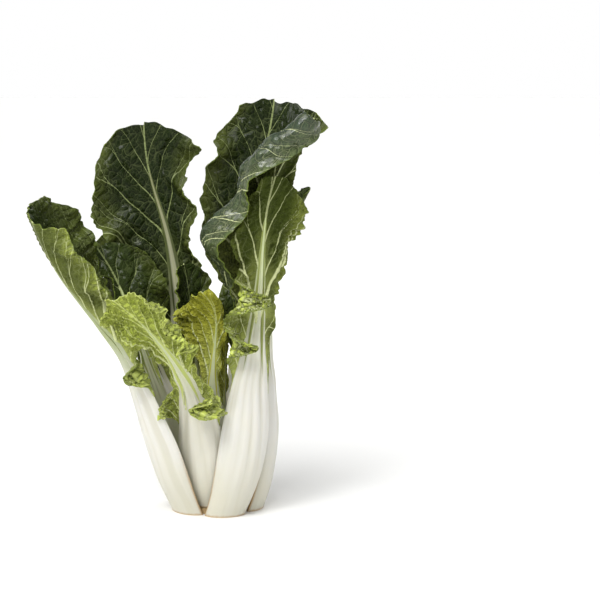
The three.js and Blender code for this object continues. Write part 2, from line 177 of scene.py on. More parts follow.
class Leaf:
    """One leaf's form. Lean, side, twist, cup and roll are degrees at even steps along it.

    Lean is outwards from the vertical, side is counter-clockwise seen from above, twist turns
    the leaf on its rib, cup bends its sides in, and roll curls its margins in, or out below
    zero, between the two shares of the width in roll_span. A pair is for the clockwise and the
    counter-clockwise side. Start, where the blade begins, and rib_end are shares of the length.
    An ear is its share of the length, its size, its side and the degrees that it curls out by.
    The lowest side vein leaves the rib at vein_start and is stouter than the others by stout,
    vein_slope is how steeply they climb, and vein_gap scales the distance between them. Flap_light
    and rim_light are how far its ears and its counter-clockwise margin go to the bright green, and
    frill and ragged scale the frills of its margins and the raggedness of its outline.
    """

    def __init__(self, name, ring, kind, azimuth, length, half, lean, cup, wings, start, rib_end,
                 wave, waves, phase, side=(0,), twist=(0,), roll=((0,), (0,)),
                 roll_span=(0.25, 0.8), widths=(BLADE_WIDTHS, BLADE_WIDTHS), rounding=0.7,
                 ears=(), flap_light=0.5, rim_light=RIM_LIGHT, frill=1, ragged=1,
                 vein_start=None, vein_slope=VEIN_SLOPE, vein_gap=1, stout=0.4):
        self.name, self.ring_name, self.kind = name, ring, kind
        self.ring = RINGS[ring]
        self.azimuth, self.length, self.half = math.radians(azimuth), length, half
        self.lean, self.side, self.twist = lean, side, twist
        self.cup, self.roll, self.roll_span = cup, roll, roll_span
        self.wings, self.widths = wings, widths
        self.start, self.rib_end, self.rounding, self.ears = start, rib_end, rounding, ears
        self.wave, self.waves, self.phase = wave, waves, phase
        self.flap_light, self.rim_light = flap_light, rim_light
        self.frill, self.ragged = frill, ragged
        self.vein_start = start + LOWEST_VEIN / length if vein_start is None else vein_start
        self.vein_slope, self.vein_gap, self.stout = vein_slope, vein_gap, stout
        self.seed = int(phase * 10) + length
        self.spine = self.rib_line()

    def directions(self, share):
        """Along the rib, out of the leaf's back, and across it."""
        lean, side, twist = (
            np.radians(curve(values, share))[..., None]
            for values in (self.lean, self.side, self.twist)
        )
        outwards = np.array([math.cos(self.azimuth), math.sin(self.azimuth), 0])
        around = np.array([-math.sin(self.azimuth), math.cos(self.azimuth), 0])
        upright = np.array([0, 0, 1])
        along = (upright * np.cos(lean) + outwards * np.sin(lean)) * np.cos(side)
        along = along + around * np.sin(side)
        back = outwards * np.cos(lean) - upright * np.sin(lean)
        across = np.cross(along, back)
        turned_back = back * np.cos(twist) + across * np.sin(twist)
        return along, turned_back, across * np.cos(twist) - back * np.sin(twist)

    def rib_line(self):
        """The points of the rib's line, stepped along its own direction from the foot."""
        radius, height = self.ring["radius"], self.ring["height"]
        foot = [radius * math.cos(self.azimuth), radius * math.sin(self.azimuth), height]
        along, _, _ = self.directions((np.arange(SPINE_STEPS) + 0.5) / SPINE_STEPS)
        return np.vstack([foot, foot + np.cumsum(along * self.length / SPINE_STEPS, axis=0)])

    def rib_point(self, share):
        place = np.clip(share, 0, 1) * SPINE_STEPS
        i = np.minimum(place.astype(int), SPINE_STEPS - 1)
        t = (place - i)[..., None]
        return self.spine[i] * (1 - t) + self.spine[i + 1] * t

    def drift(self, x, y, size, step):
        """A drift of this leaf's own, another one for each step."""
        return drift(x, y, size, self.seed + step)

    def stalk_half(self, share):
        return self.half * curve((self.ring["foot"], *STALK_WIDTHS), share / self.rib_end)

    def stalk_depth(self, share):
        return self.ring["depth"] * curve(STALK_DEPTHS, share / self.rib_end)

    def on_blade(self, share):
        return (share - self.start) / (1 - self.start)

    def ear(self, share, sign):
        """How far the ears reach out here, and how far they curl."""
        reach, curl = np.zeros_like(share), np.zeros_like(share)
        for place, size, side, degrees in self.ears:
            swell = np.where(sign == side, np.exp(-(((share - place) / EAR_SPAN) ** 2)), 0)
            reach, curl = reach + swell * size, curl + swell * degrees
        return reach, curl

    def wing(self, share, sign):
        """How far the blade reaches past the stalk's edge."""
        side = np.where(sign < 0, *self.wings)
        rise = fade(self.on_blade(share), -BLADE_LEAD, BLADE_LEAD)
        wide = side * rise * self.sided(self.widths, self.on_blade(share), sign)
        return wide + self.ear(share, sign)[0]

    def sided(self, values, share, sign):
        return np.where(sign < 0, curve(values[0], share), curve(values[1], share))

    def bend(self, share, distance, sign):
        """The angle by which the leaf has bent in at a distance from its rib."""
        edge = self.stalk_half(share)
        reach = edge + np.where(share > self.start - BLADE_LEAD, self.wing(share, sign), 0)
        v = np.minimum(distance / reach, PAST_MARGIN)
        folded = fade(distance, edge, edge + EAR_FOLD * np.maximum(reach - edge, MM))
        rolled = self.sided(self.roll, share, sign) * fade(v, *self.roll_span)
        eared = self.ear(share, sign)[1] * folded
        return np.radians(self.sided(self.cup, share, sign) * v + rolled - eared)

    def lift(self, share, distance, sign):
        """How far a wave lifts the blade out of its plain form."""
        on = self.on_blade(share)
        v = np.minimum(distance / (self.stalk_half(share) + self.wing(share, sign)), PAST_MARGIN)
        turn = 2 * math.pi * self.waves * (on + WAVE_SLANT * v) + self.phase + WAVE_STEP * sign
        ripple = RIPPLE_HEIGHT * np.sin(RIPPLE_RATE * turn + self.phase)
        return self.wave * fade(on, 0, WAVE_RISE) * v * v * (np.sin(turn) + ripple)

    def point(self, share, across, out):
        """Points by their share of the length, distance from the rib and height of the back."""
        sign, distance = np.where(across < 0, -1, 1), np.abs(across)
        _, back, sideways = self.directions(share)
        step = distance / SECTION_STEPS
        place = self.rib_point(share)
        for i in range(SECTION_STEPS):
            bend = self.bend(share, (i + 0.5) * step, sign)
            place = place + sideways * (sign * step * np.cos(bend))[..., None]
            place = place - back * (step * np.sin(bend))[..., None]
        bend = self.bend(share, distance, sign)
        rise = out + self.lift(share, distance, sign)
        place = place + back * (rise * np.cos(bend))[..., None]
        return place + sideways * (sign * rise * np.sin(bend))[..., None]


LEAVES = (
    Leaf("left", "outer", "green", 213, 262, 22.5, [24, 18, 18, 38, 37, 26],
         cup=([36, 32, 30, 66, 74, 50], [36, 31, 30, 70, 76, 60]), wings=(74, 30), start=0.4,
         widths=([0.03, 0.12, 0.42, 0.69, 0.85, 0.98, 1.05, 0.88], BLADE_WIDTHS),
         rib_end=0.86, wave=4, waves=4.2, phase=0.4, side=[-4, -6, -6, -3, 4, 14],
         twist=[4, 4, 0, -6, -10, -10], rounding=0.25, ears=[(0.45, 18, 1, 150)],
         flap_light=0.3, rim_light=0.55, frill=1.9, vein_start=0.47, vein_slope=1.9),
    Leaf("front", "second", "light", 251, 204, 20.5, [22, 10, 16, 33, 45, 54],
         cup=([38, 32, 26, 10, 20], [38, 32, 26, 6, 16]), wings=(26, 36), start=0.36, rib_end=0.84,
         wave=3, waves=3.4, phase=1.6, side=[-4, 0, -5, -16, -18, -20], twist=[0, 0, 0, 0, 6, 10],
         roll=([0], [0, 0, -20, -70, -60]),
         widths=([0.03, 0.05, 0.14, 0.4, 0.75, 0.95, 1, 0.86],
                 [0.03, 0.05, 0.14, 0.45, 0.8, 1, 1, 0.86]),
         ears=[(0.415, 22, -1, 150), (0.43, 27, 1, 160)], frill=3.6, ragged=2,
         vein_start=0.5, vein_slope=1.8, vein_gap=0.8, stout=0.9),
    Leaf("front_right", "outer", "mid", 286, 267, 19.5, [20, 8, 3, 2, 4, 7, 12, 16],
         cup=([36, 31, 26, 16, 14, 14], [36, 31, 26, 20, 24, 24]), wings=(27, 32), start=0.4,
         rib_end=0.88, wave=3, waves=4, phase=2.2, side=[14, 11, 5, 5, 5, 2, 4, 14],
         widths=([0.03, 0.3, 0.6, 0.65, 0.5, 0.8, 0.55, 0.3],
                 [0.03, 0.1, 0.2, 0.35, 0.55, 0.78, 0.95, 0.9]),
         ears=[(0.51, 16, -1, 160), (0.65, 20, -1, 165)], flap_light=1, rim_light=0.4, frill=2.2,
         vein_start=0.57, vein_slope=2, vein_gap=1.25, stout=1),
    Leaf("right", "outer", "mid", 355, 256, 19, [20, 5, -4, 4, 20, 30],
         cup=([36, 31, 30, 44, 40], [36, 31, 30, 60, 60]), wings=(6, 26), start=0.44, rib_end=0.84,
         wave=3, waves=4, phase=3.1, side=[6, 5, 0, -2, -8, -10]),
    Leaf("back_right", "outer", "dark", 64, 320, 20, [20, 5, 5, 6, 10, 17],
         cup=([36, 31, 28, 38, 24], [36, 31, 28, 38, 24]), wings=(36, 40), start=0.42, rib_end=0.88,
         wave=4.5, waves=4.6, phase=4.3, side=[-6, -2, 4, 4, -13, 1], twist=[0, 0, 6, 12, 16, 16],
         widths=([0.03, 0.12, 0.42, 0.65, 0.7, 0.6, 0.7, 1.3],
                 [0.03, 0.12, 0.57, 0.8, 0.95, 0.91, 0.97, 0.65]),
         rounding=0.42, ragged=1.3),
    Leaf("back_left", "outer", "deep", 140, 221, 20, [22, 10, 20, 26, 34],
         cup=([36, 31, 28, 40, 30], [36, 31, 28, 40, 30]), wings=(42, 40), start=0.36, rib_end=0.86,
         wave=4.5, waves=4.4, phase=5.2, side=[4, 8, 6, -4, -12]),
    Leaf("inner_left", "second", "mid", 167, 212, 17.5, [20, 15, 18, 22, 40],
         cup=([42, 34, 30, 26, 16], [42, 34, 30, 30, 26]), wings=(34, 6), start=0.46, rib_end=0.84,
         wave=3.5, waves=4, phase=0.9, side=[8, 8, 2, -6, -10], twist=[0, 0, -14, -40, -50]),
    Leaf("inner_back", "second", "dark", 98, 299, 18, [20, 2, 4, 8, 10, 2],
         cup=([42, 34, 34, 44, 20], [42, 34, 22, 22, 20]), wings=(42, 57), start=0.4, rib_end=0.88,
         wave=4.5, waves=4.6, phase=2.8, side=[6, 10, 11, 8, 16, 0], twist=[0, 0, -8, -12, -12],
         widths=([0.03, 0.12, 0.26, 0.38, 0.58, 0.66, 0.79, 1.15],
                 [0.03, 0.12, 0.49, 0.67, 0.81, 0.87, 0.88, 0.5]),
         rounding=0.56, ragged=1.3, vein_start=0.5, vein_slope=1.2, stout=0.7),
    Leaf("inner_right", "second", "mid", 34, 235, 16, [20, 4, 0, 2, 10],
         cup=([42, 36, 32, 44, 40], [42, 36, 32, 44, 40]), wings=(14, 16), start=0.5, rib_end=0.84,
         wave=3, waves=3.6, phase=1.2),
    Leaf("inner_front", "second", "glossy", 322, 312, 16, [17, 7, 2, 0, 2, 12, 22, 29, 36],
         cup=([42, 36, 32, 29, 19, -14], [42, 36, 32, 20, 20, 20]), wings=(61, 13), start=0.42,
         rib_end=0.88, wave=3, waves=4, phase=4.8, side=[2, 2, 1, 1, -1, -4, 0, 12, 17],
         twist=[0, 0, -5, -39, -36, -11], roll=([0, 0, 0, -64, -130, -143, -125, -179], [0]),
         roll_span=(0.27, 0.83), widths=([0.03, 0.2, 0.61, 1.2, 0.72, 0.8, 0.79, 0.5], BLADE_WIDTHS),
         rounding=-0.07),
    Leaf("young_front", "third", "heart", 262, 168, 12, [14, 5, 2, 9, 18, 41],
         cup=([46, 38, 34, 30, 34], [46, 38, 34, 40, 44]), wings=(34, 6), start=0.46, rib_end=0.84,
         wave=2.6, waves=3.6, phase=3.7, side=[5, 0, -2, 6, 4, -33], frill=2.6, ragged=1.8,
         vein_slope=1.5, vein_gap=0.8),
    Leaf("young_left", "third", "mid", 142, 176, 12, [14, 4, 2, 8, 14],
         cup=([46, 38, 34, 46, 44], [46, 38, 34, 46, 44]), wings=(20, 26), start=0.44, rib_end=0.84,
         wave=2.4, waves=3.6, phase=0.3),
    Leaf("young_right", "third", "mid", 22, 186, 12, [14, 2, -2, 2, 10],
         cup=([46, 38, 34, 50, 46], [46, 38, 34, 50, 46]), wings=(26, 18), start=0.44, rib_end=0.84,
         wave=2.4, waves=3.6, phase=5.6),
    Leaf("heart_left", "heart", "heart", 150, 104, 6, [6, 3, 0, 2, 8],
         cup=([50, 44, 44, 60, 60], [50, 44, 44, 60, 60]), wings=(10, 10), start=0.44, rib_end=0.82,
         wave=1.4, waves=3, phase=2),
    Leaf("heart_right", "heart", "heart", 330, 116, 6, [6, 3, 0, 2, 8],
         cup=([50, 44, 44, 60, 60], [50, 44, 44, 60, 60]), wings=(10, 15), start=0.38, rib_end=0.82,
         wave=1.4, waves=3, phase=4),
)


class Value:
    """A node's output. Python's own signs on it add Math nodes."""

    def __init__(self, nodes, socket):
        self.nodes, self.socket = nodes, socket

    def math(self, operation, first, second=0.0):
        return self.nodes.add("ShaderNodeMath", {"operation": operation}, {0: first, 1: second})

    def __add__(self, other):
        return self.math("ADD", self, other)

    __radd__ = __add__

    def __sub__(self, other):
        return self.math("SUBTRACT", self, other)

    def __rsub__(self, other):
        return self.math("SUBTRACT", other, self)

    def __mul__(self, other):
        return self.math("MULTIPLY", self, other)

    __rmul__ = __mul__

    def __truediv__(self, other):
        return self.math("DIVIDE", self, other)

    def __rtruediv__(self, other):
        return self.math("DIVIDE", other, self)

    def __abs__(self):
        return self.math("ABSOLUTE", self)

    def clipped(self):
        return self.math("MINIMUM", self, 1.0)

    def nearest_whole(self):
        """How far it is from the nearest whole number."""
        return abs(self - self.math("ROUND", self))

    def above(self, other):
        return self.math("MAXIMUM", self, other)


class Nodes:
    """Adds nodes to one tree, of a material or of a geometry modifier."""

    def __init__(self, tree):
        self.tree = tree

    def add(self, kind, settings=None, inputs=None, output=0):
        """Adds a node: its settings first, then its sockets' values or links."""
        node = self.tree.nodes.new(kind)
        for name, value in (settings or {}).items():
            setattr(node, name, value)
        for key, value in (inputs or {}).items():
            if isinstance(value, Value):
                self.tree.links.new(value.socket, node.inputs[key])
            else:
                node.inputs[key].default_value = value
        return Value(self, node.outputs[output]) if node.outputs else None

    def attribute(self, name):
        """The three numbers that a mesh holds under this name at every point."""
        vector = self.add("ShaderNodeAttribute", {"attribute_name": name}, output="Vector")
        return vector, *self.split(vector)

    def object_place(self):
        return self.add("ShaderNodeTexCoord", {}, output="Object")

    def split(self, vector):
        parts = self.add("ShaderNodeSeparateXYZ", {}, {0: vector})
        outputs = parts.socket.node.outputs
        return [Value(self, outputs[axis]) for axis in "XYZ"]

    def fade(self, value, low, high):
        """From 0 at low to 1 at high, smoothly."""
        settings = {"interpolation_type": "SMOOTHSTEP"}
        return self.add("ShaderNodeMapRange", settings, {0: value, 1: low, 2: high})

    def mix(self, share, first, second):
        """A colour between two."""
        settings = {"data_type": "RGBA", "clamp_factor": True}
        return self.add("ShaderNodeMix", settings, {0: share, 6: first, 7: second}, output=2)

    def noise(self, vector, scale, detail=3.0):
        sockets = {"Vector": vector, "Scale": scale, "Detail": detail}
        return self.add("ShaderNodeTexNoise", {}, sockets)

    def cell_edge(self, vector, scale=1.0):
        """The distance from the nearest edge of irregular cells."""
        settings = {"feature": "DISTANCE_TO_EDGE"}
        sockets = {"Vector": vector, "Scale": scale, "Randomness": 0.9}
        return self.add("ShaderNodeTexVoronoi", settings, sockets)

    def scaled(self, vector, factors):
        return self.add("ShaderNodeVectorMath", {"operation": "MULTIPLY"}, {0: vector, 1: factors})


def start_material(name):
    material = bpy.data.materials.new(name)
    material.use_nodes = True
    material.node_tree.nodes.clear()
    return material, Nodes(material.node_tree)


def end_material(nodes, colour, roughness, height, relief, fixed=None):
    """Joins a finish to its shader. The relief is the bump's depth in metres."""
    bump = nodes.add("ShaderNodeBump", {}, {"Distance": relief, "Height": height})
    sockets = {"Base Color": colour, "Roughness": roughness, "Normal": bump, **(fixed or {})}
    shader = nodes.add("ShaderNodeBsdfPrincipled", {}, sockets)
    nodes.add("ShaderNodeOutputMaterial", {}, {"Surface": shader})


def stalk_material(name, settings, white, rib, green, turned=1.1, bare=0.5):
    """Waxy white stalk: soft strands with painted shade in their grooves, painted shade towards its
    foot, tan foot and edges, and wedges of green by its rib.

    Rib is its colour towards the leaf's tip, turned the share of its length where it has that, and
    bare how far out from its middle it stays free of the blade's green.
    """
    material, nodes = start_material(name)
    _, across, along, edge = nodes.attribute("stalk")
    place, _, _, ridge = nodes.attribute("stalk_place")
    strands = nodes.noise(nodes.scaled(place, (420, 9, 0)), 1.0)
    clouds = nodes.noise(nodes.scaled(place, (60, 24, 0)), 1.0)
    colour = nodes.mix(nodes.fade(clouds, 0.35, 0.75) * 0.7, white, settings.stalk_cream)
    # Painted shade in the grooves between the stalk's soft ribs, with fine lengthwise streaks from
    # the strands.
    painted_groove_shade = 1 - nodes.fade(ridge + strands * 0.8, -0.9, 0.9)
    colour = nodes.mix(painted_groove_shade * 0.55, colour, settings.painted_stalk_shade)
    colour = nodes.mix(nodes.fade(along + clouds * 0.2, 0.5, turned) * 0.85, colour, rib)

    opening = nodes.fade(along + clouds * 0.1, 0.5, 0.78) * 0.19
    wedge = 1 - nodes.fade(abs(abs(across) - 0.58) / (opening + 0.002), 0.7, 1.15)
    side = nodes.fade(edge + clouds * 0.2, bare, bare + 0.35)
    side = side * nodes.fade(along, bare + 0.2, bare + 0.45)
    colour = nodes.mix(wedge.above(side) * nodes.fade(along, 0.46, 0.56), colour, green)

    # Painted shade towards the stalk's foot. The tan edges and cut end after it are the stalk's own
    # browning.
    low = 1 - nodes.fade(along, 0.02, 0.3)
    colour = nodes.mix(low * 0.7, colour, settings.painted_stalk_shade)
    tan = nodes.fade(edge + clouds * 0.1, 0.97, 1.06) * low
    foot = (1 - nodes.fade(along + strands * 0.01, 0.006, 0.016)) * 0.7
    colour = nodes.mix(tan.above(foot), colour, settings.stalk_tan)
    roughness = 0.36 + strands * 0.14
    end_material(nodes, colour, roughness, strands, 0.0003, {
        "Subsurface Weight": 0.12, "Subsurface Scale": 1.0,
        "Subsurface Radius": (0.004, 0.003, 0.002),
    })
    return material


def blade_material(name, settings, green, light, vein, margin, net=0.0, roughness=0.45, gloss=0.0,
                   reach=0.1, fading=0.3, relief=0.0007, valley_shade_share=0.1):
    """One face of a blade: its green, its side veins, its net of small veins with painted shade
    beside them, and its margin.

    Light is its colour near the foot, and net how far the small veins go to the veins' colour.
    Reach is how much sooner the margin turns green than the rib's side, fading how far the veins
    go to green towards the tip, and the valley shade how dark the painted shade is in the valleys
    beside its small veins.
    """
    material, nodes = start_material(name)
    _, order, width, fork = nodes.attribute("vein")
    cells, _, _, _ = nodes.attribute("net")
    _, _, flap, _ = nodes.attribute("calm")
    _, along, out, middle = nodes.attribute("leaf")
    place = nodes.object_place()
    clouds = nodes.noise(place, 60.0)
    grain = nodes.noise(place, 900.0)

    side_vein = 1 - nodes.fade(abs(order.nearest_whole() - fork) / width, 0.35, 1.0)
    rib = 1 - nodes.fade(middle, 0.6, 1.15)
    cell = nodes.cell_edge(cells)
    small = nodes.cell_edge(cells, 2.6)
    line = (1 - nodes.fade(cell, 0.01, 0.07)) * (flap * 0.5 + net) * nodes.fade(clouds, 0.3, 0.55)
    hair = (1 - nodes.fade(small, 0.02, 0.1)) * (flap * 0.5 + net) * 0.4
    # Painted shade in the valleys beside the small veins, where the blade puffs up between them. The
    # flaps get it in full.
    valley_shade = (1 - nodes.fade(cell, 0.04, 0.3)) * (flap + valley_shade_share).clipped()

    young = 1 - nodes.fade(along + out * reach + clouds * 0.25, 0.1, 0.62 + reach)
    colour = nodes.mix(young, green, light)
    colour = nodes.mix(flap, colour, settings.bright_leaf)
    vein = nodes.mix(nodes.fade(along, 0.3, 0.95) * fading, vein, green)
    vein = nodes.mix(flap, vein, settings.vein_pale)
    shade = nodes.fade(clouds, 0.35, 0.7) * 0.4
    colour = nodes.mix(shade, colour, mixed(green, settings.leaf_shade, 0.6))
    colour = nodes.mix(valley_shade * 0.8, colour, mixed(green, settings.leaf_shade, 0.65))
    colour = nodes.mix(line.above(hair), colour, vein)
    colour = nodes.mix(side_vein.above(rib), colour, vein)
    colour = nodes.mix(nodes.fade(out + clouds * 0.04, 0.96, 1.02) * 0.5, colour, margin)

    height = nodes.fade(cell, 0.0, 0.2) * 0.6 + nodes.fade(small, 0.0, 0.25) * 0.25 + grain * 0.15
    finish = roughness + clouds * 0.15 + side_vein * 0.08
    end_material(nodes, colour, finish, height, relief, {
        "Coat Weight": gloss, "Coat Roughness": 0.17, "Specular IOR Level": 0.03,
    })
    return material


def core_material(name, settings):
    """The cut stem: pale rings and dots of its strands, browned towards the rim."""
    material, nodes = start_material(name)
    place = nodes.object_place()
    flat = nodes.scaled(place, (1, 1, 0))
    radius = nodes.add("ShaderNodeVectorMath", {"operation": "LENGTH"}, {0: flat}, output="Value")
    clouds = nodes.noise(place, 120.0)
    dots = 1 - nodes.fade(nodes.add(
        "ShaderNodeTexVoronoi", {"voronoi_dimensions": "2D"}, {"Vector": flat, "Scale": 380.0},
    ), 0.18, 0.42)
    ring = nodes.fade((radius * 260 + clouds * 1.6).nearest_whole(), 0.05, 0.4)
    colour = nodes.mix(ring, settings.cut_ring, settings.cut_stem)
    colour = nodes.mix(dots * 0.4, colour, settings.cut_ring)
    rim = nodes.fade(radius + clouds * 0.004, 0.021, 0.027)
    colour = nodes.mix(rim * 0.8, colour, settings.stalk_tan)
    end_material(nodes, colour, 0.6 + clouds * 0.2, ring + dots, 0.0006)
    return material


def floor_material(settings):
    material, nodes = start_material("pale_floor")
    place = nodes.object_place()
    clouds = nodes.noise(place, 3.0)
    colour = nodes.mix(clouds * 0.3, settings.floor_colour, settings.floor_shade)
    end_material(nodes, colour, 0.7, clouds, 0.0002)
    return material


def deselect_all():
    for thing in bpy.context.selected_objects:
        thing.select_set(False)


def mesh_points(piece):
    points = np.empty(len(piece.data.vertices) * 3)
    piece.data.vertices.foreach_get("co", points)
    return points.reshape(-1, 3)


def set_points(piece, points):
    """Moves a piece's points, given in millimetres."""
    piece.data.vertices.foreach_set("co", (points * MM).astype(np.float32).ravel())
    piece.data.update()


def set_attribute(piece, name, *numbers):
    """Keeps three numbers at every point of the piece."""
    columns = np.broadcast_arrays(*numbers, np.zeros(len(piece.data.vertices)))[:3]
    made = piece.data.attributes.new(name, "FLOAT_VECTOR", "POINT")
    made.data.foreach_set("vector", np.stack(columns, axis=-1).astype(np.float32).ravel())


def new_piece(add, name, **sizes):
    """Adds a primitive at the origin and gives it its name."""
    deselect_all()
    add(location=(0, 0, 0), **sizes)
    piece = bpy.context.active_object
    piece.name = piece.data.name = name
    return piece


def apply_modifier(piece, name, kind, **settings):
    modifier = piece.modifiers.new(name, kind)
    for key, value in settings.items():
        setattr(modifier, key, value)
    bpy.context.view_layer.objects.active = piece
    bpy.ops.object.modifier_apply(modifier=modifier.name)


def smooth(piece, crease):
    """Shades a piece smooth, but for edges sharper than the crease, in degrees."""
    deselect_all()
    piece.select_set(True)
    bpy.ops.object.shade_smooth_by_angle(angle=math.radians(crease))


def hand_over(piece, slot, *nodes):
    """The piece is done: it stands for its solids and rides on the bunch."""
    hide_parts(*nodes)
    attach(piece, BODY)


def blister_group(settings):
    """Geometry nodes that puff the blade up between its small veins, away from its back."""
    tree = bpy.data.node_groups.new("Blisters", "GeometryNodeTree")
    tree.interface.new_socket("Geometry", in_out="INPUT", socket_type="NodeSocketGeometry")
    tree.interface.new_socket("Geometry", in_out="OUTPUT", socket_type="NodeSocketGeometry")
    nodes = Nodes(tree)
    given = nodes.add("NodeGroupInput")
    kind = {"data_type": "FLOAT_VECTOR"}
    cells, calm = (
        nodes.add("GeometryNodeInputNamedAttribute", kind, {"Name": name})
        for name in ("net", "calm")
    )
    fuller, _, _ = nodes.split(calm)
    puff = nodes.fade(nodes.cell_edge(cells), 0.0, 0.34) * fuller * -settings.blister_height
    normal = nodes.add("GeometryNodeInputNormal")
    offset = nodes.add("ShaderNodeVectorMath", {"operation": "SCALE"}, {0: normal, "Scale": puff})
    moved = nodes.add("GeometryNodeSetPosition", {}, {"Geometry": given, "Offset": offset})
    nodes.add("NodeGroupOutput", {}, {0: moved})
    return tree


def add_stalk(leaf, settings, material):
    """The stalk and its rib: a sphere drawn out along the leaf, flat where it was cut."""
    around, rings = STALK_GRIDS[leaf.ring_name]
    piece = new_piece(bpy.ops.mesh.primitive_uv_sphere_add, leaf.name + "_white_stalk",
                      segments=around, ring_count=rings)
    unit = mesh_points(piece)
    turn = np.arctan2(unit[:, 1], unit[:, 0])
    row = rings * (1 - np.arccos(np.clip(unit[:, 2], -1, 1)) / math.pi)
    share = np.clip((row - FOOT_RINGS) / (rings - FOOT_RINGS), 0, 1) * leaf.rib_end
    tip = np.sqrt(np.clip((rings - row) / TIP_RINGS, 0, 1))
    grown = np.minimum(np.clip(row / FOOT_RINGS, 0, 1), tip)

    half, depth = leaf.stalk_half(share), leaf.stalk_depth(share)
    q = np.cos(turn)
    edge = np.abs(q)
    plump = 1 - (1 - STALK_EDGE) * edge**STALK_EDGE_POWER
    rounded = np.sqrt(1 - np.minimum(edge, 1) ** STALK_CORNER_POWER)
    is_back = turn < 0
    side = np.where(is_back, OUTER_SHARE, OUTER_SHARE - 1)
    across = q * half
    along = share * leaf.length
    line = q * leaf.half + 0.8 * leaf.drift(across, along, 60, 0)
    ridge = leaf.drift(line, along * 0.03, 9, 1)
    ridge = ridge + 0.3 * leaf.drift(line, along * 0.02, 3.6, 9)
    strand = ridge * settings.strand_height / MM * np.where(is_back, 1, -0.5) * (1 - edge**4)
    strand = strand * np.minimum(1, depth / 4) * fade(along, 4, 70)
    swell = leaf.drift(across * 0.5, along, 40, 2) * 0.25 * fade(along, 4, 30)
    out = (side * depth * plump * rounded + strand + swell * np.minimum(1, depth / 5)) * grown
    points = leaf.point(share, across * grown, out)

    direction, _, _ = leaf.directions(share)
    level = leaf.rib_point(share)[:, 2]
    settle = 1 - fade(along, 0, FOOT_SETTLE)
    points = points + direction * ((level - points[:, 2]) / direction[:, 2] * settle)[:, None]
    set_points(piece, points)
    set_attribute(piece, "stalk", q, share / leaf.rib_end, edge * (grown > 0.99))
    set_attribute(piece, "stalk_place", across * MM, along * MM, ridge)
    piece.data.materials.append(material)
    smooth(piece, 50)
    return piece


